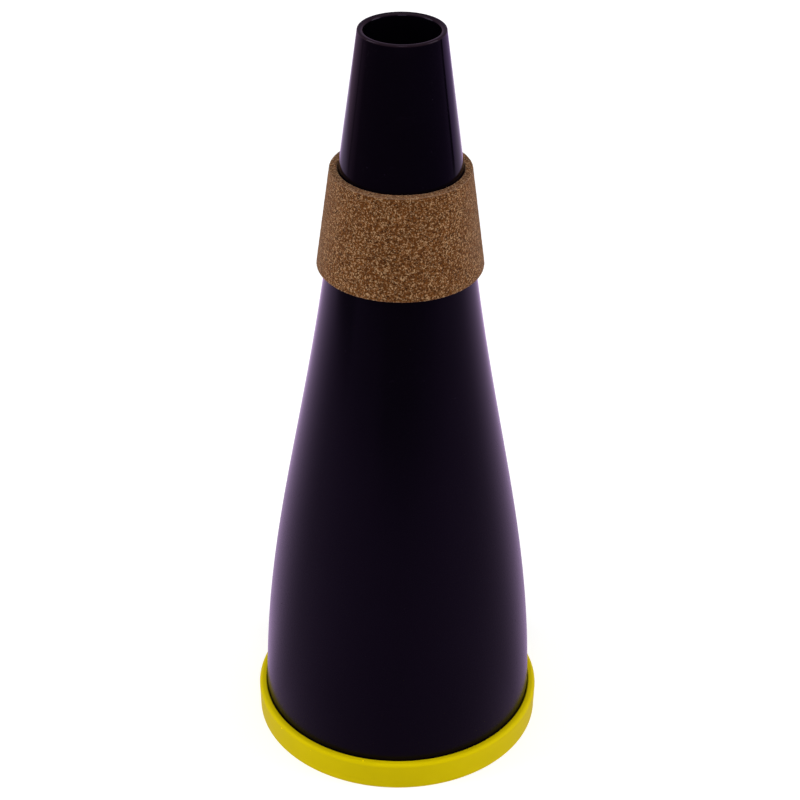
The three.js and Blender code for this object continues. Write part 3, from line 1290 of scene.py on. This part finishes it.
@dataclass(frozen=True)
class Studio:
    """The white floor, the soft boxes, the reflected cards and the camera."""

    floor_radius: float = 4.0
    floor_shade: float = 0.6
    floor_glow: Span = Span(0.45, 1.0, 0.58, 1.0)
    sky_light: float = 0.47
    rim_segments: int = 96
    card_lift: float = 0.0001
    zones: tuple[Zone, ...] = (
        Zone(0.0, 0.0, (1.0, 0.7, 1.2), (1.0, 0.7, 1.2), (
            (-180, 0.95), (-124, 1.05), (-113, 1.02), (-97, 0.66), (-84, 0.54), (-73, 0.56),
            (0, 0.4), (73, 0.52), (84, 0.5), (97, 0.6), (113, 0.82), (124, 0.92), (180, 0.88))),
        Zone(0.08, 0.14, (1.0, 0.7, 1.2), (1.0, 0.7, 1.2), (
            (-180, 1.0), (-124, 0.95), (-113, 0.86), (-97, 0.68), (-84, 0.6), (-73, 0.65),
            (-50, 0.62), (0, 0.46), (50, 0.6), (63, 0.58), (73, 0.56), (84, 0.58), (97, 0.62),
            (113, 0.8), (124, 0.86), (180, 0.95))),
        Zone(0.45, 0.5, (1.0, 0.75, 1.2), (1.0, 0.75, 1.2), (
            (-180, 0.85), (-120, 0.75), (-105, 0.54), (-98, 0.16), (-70, 0.18), (-62, 0.35),
            (-28, 0.35), (-15, 0.15), (10, 0.15), (60, 0.45), (105, 0.55), (180, 0.9))),
        Zone(0.6, 0.64, (1.0, 0.63, 1.02), (1.0, 0.65, 1.4), (
            (-180, 0.3), (-150, 0.45), (-128, 0.55), (-114, 0.42), (-111, 0.17), (-107, 0.35),
            (-96, 0.27), (-92, 0.17), (0, 0.17), (94, 0.19), (108, 0.25), (110, 0.02), (115, 0.02),
            (117, 0.52), (130, 0.57), (150, 0.5), (180, 0.35))),
    )
    dark_walls: Triple = (0.42, 0.29, 0.44)
    wall_height: float = 3.2
    focal_pixels: float = 2177.5
    frame_pixels: float = 800.0
    sensor: float = 36.0
    camera_distance: float = 0.56404
    camera_height: float = 0.46325
    camera_side: float = 0.00019
    camera_pitch: float = math.radians(31.65)
    camera_roll: float = math.radians(0.43)
    camera_near: float = 0.01
    camera_far: float = 50.0
    lamps: tuple[Lamp, ...] = (
        Lamp("left_box", (-0.95, -0.1, 0.5), (0.0, 0.0, 0.1), 0.5, 0.9, 4.8),
        Lamp("right_box", (0.95, -0.1, 0.5), (0.0, 0.0, 0.1), 0.5, 0.9, 4.6),
        Lamp("top_box", (0.0, 0.15, 1.3), (0.0, 0.0, 0.0), 0.9, 0.9, 0.6),
        Lamp("front_box", (0.0, -1.3, 1.0), (0.0, 0.0, 0.1), 0.6, 0.5, 5.6),
    )

    @property
    def card_radius(self) -> float:
        """Radius of the reflected table and walls."""
        return self.floor_radius / 2

    def build(self) -> None:
        """Sets up the whole studio."""
        bpy.context.scene.view_settings.view_transform = "Standard"
        self.sky()
        self.floor()
        self.table_card()
        self.wall_card()
        for lamp in self.lamps:
            lamp.light()
        self.camera()

    def sky(self) -> None:
        """Makes a sky that is white to the eye and in gloss, and soft as a light."""
        world = bpy.data.worlds.new("white_room")
        bpy.context.scene.world = world
        world.use_nodes = True
        bench = Bench(world.node_tree)
        background = world.node_tree.nodes["Background"]
        bench.set(background, "Color", WHITE)
        strength = bench.stretch(bench.seen(), Span(0.0, 1.0, self.sky_light, 1.0))
        bench.set(background, "Strength", strength)

    def floor(self) -> None:
        """Makes the white floor, which keeps the shadow and is open from below."""
        skin = Surface("white_floor")
        skin.drive("Base Color", (self.floor_shade,) * 3)
        skin.drive("Roughness", 1.0)
        skin.drive("Specular IOR Level", 0.0)
        lift = skin.math("MULTIPLY", skin.seen(), skin.stretch(skin.away(), self.floor_glow))
        glow = skin.add("Emission", {"Color": WHITE, "Strength": lift})
        skin.show(skin.add("AddShader", {0: skin.shader.outputs[0], 1: glow.outputs[0]}))
        piece = to_piece(self.disc(self.floor_radius), "floor")
        piece.data.materials.append(skin.material)

    def disc(self, radius: float) -> BMesh:
        """Makes a flat round sheet on the ground.

        Args:
            radius: The sheet's radius.

        Returns:
            The sheet's mesh.
        """
        work = bmesh.new()
        bmesh.ops.create_circle(work, cap_ends=True, segments=self.rim_segments, radius=radius)
        return work

    def card(self, work: BMesh, name: str) -> tuple[Surface, Node]:
        """Makes a sheet that only gloss sees, and only from its front.

        Args:
            work: The sheet's mesh.
            name: The sheet's name.

        Returns:
            The surface, and its node that makes it glow.
        """
        piece = to_piece(work, name)
        for ray in ("camera", "diffuse", "transmission", "volume_scatter", "shadow"):
            setattr(piece, "visible_" + ray, False)
        skin = Surface(name)
        glow = skin.add("Emission", {"Strength": 1.0})
        skin.show(glow)
        piece.data.materials.append(skin.material)
        return skin, glow

    def table_card(self) -> None:
        """Lays the reflected table: bright round the mute, in strips farther out."""
        work = self.disc(self.card_radius)
        bmesh.ops.translate(work, verts=work.verts, vec=(0.0, 0.0, self.card_lift))
        skin, glow = self.card(work, "reflected_table")
        away = skin.away()
        axes = skin.add("SeparateXYZ", {0: skin.place}).outputs
        bearing = skin.math("ARCTAN2", axes["X"], skin.math("MULTIPLY", axes["Y"], -1.0))
        turn = skin.stretch(bearing, Span(-math.pi, math.pi))
        nearest, *farther = self.zones
        colour = skin.ramp(turn, nearest.stops())
        for zone in farther:
            reached = skin.stretch(away, Span(zone.start, zone.end))
            colour = skin.blend(reached, colour, skin.ramp(turn, zone.stops()))
        skin.set(glow, "Color", colour)

    def wall_card(self) -> None:
        """Stands the reflected walls round the table, which keep the mouth's edge dark."""
        work = bmesh.new()
        bmesh.ops.create_cone(
            work, cap_ends=False, segments=self.rim_segments, radius1=self.card_radius,
            radius2=self.card_radius, depth=self.wall_height)
        bmesh.ops.translate(work, verts=work.verts, vec=(0.0, 0.0, self.wall_height / 2))
        bmesh.ops.reverse_faces(work, faces=work.faces)
        skin, glow = self.card(work, "reflected_walls")
        skin.set(glow, "Color", self.dark_walls)

    def camera(self) -> None:
        """Sets the camera where the photograph was taken from."""
        data = bpy.data.cameras.new("camera")
        data.sensor_width = self.sensor
        data.lens = self.focal_pixels * self.sensor / self.frame_pixels
        data.clip_start = self.camera_near
        data.clip_end = self.camera_far
        eye = bpy.data.objects.new("camera", data)
        place = Matrix.Translation((self.camera_side, -self.camera_distance, self.camera_height))
        tilt = Matrix.Rotation(math.pi / 2 - self.camera_pitch, 4, "X")
        roll = Matrix.Rotation(self.camera_roll, 4, "Z")
        eye.matrix_world = place @ tilt @ roll
        bpy.context.scene.collection.objects.link(eye)
        bpy.context.scene.camera = eye


def main() -> None:
    """Builds the mute and its studio."""
    logging.basicConfig(level=logging.INFO, format="%(name)s: %(message)s")
    Studio().build()
    wardrobe = Wardrobe()
    wardrobe.sew()
    MuteBody(wardrobe).build()
    CapInsert(wardrobe).build()


if __name__ == "__main__":
    main()
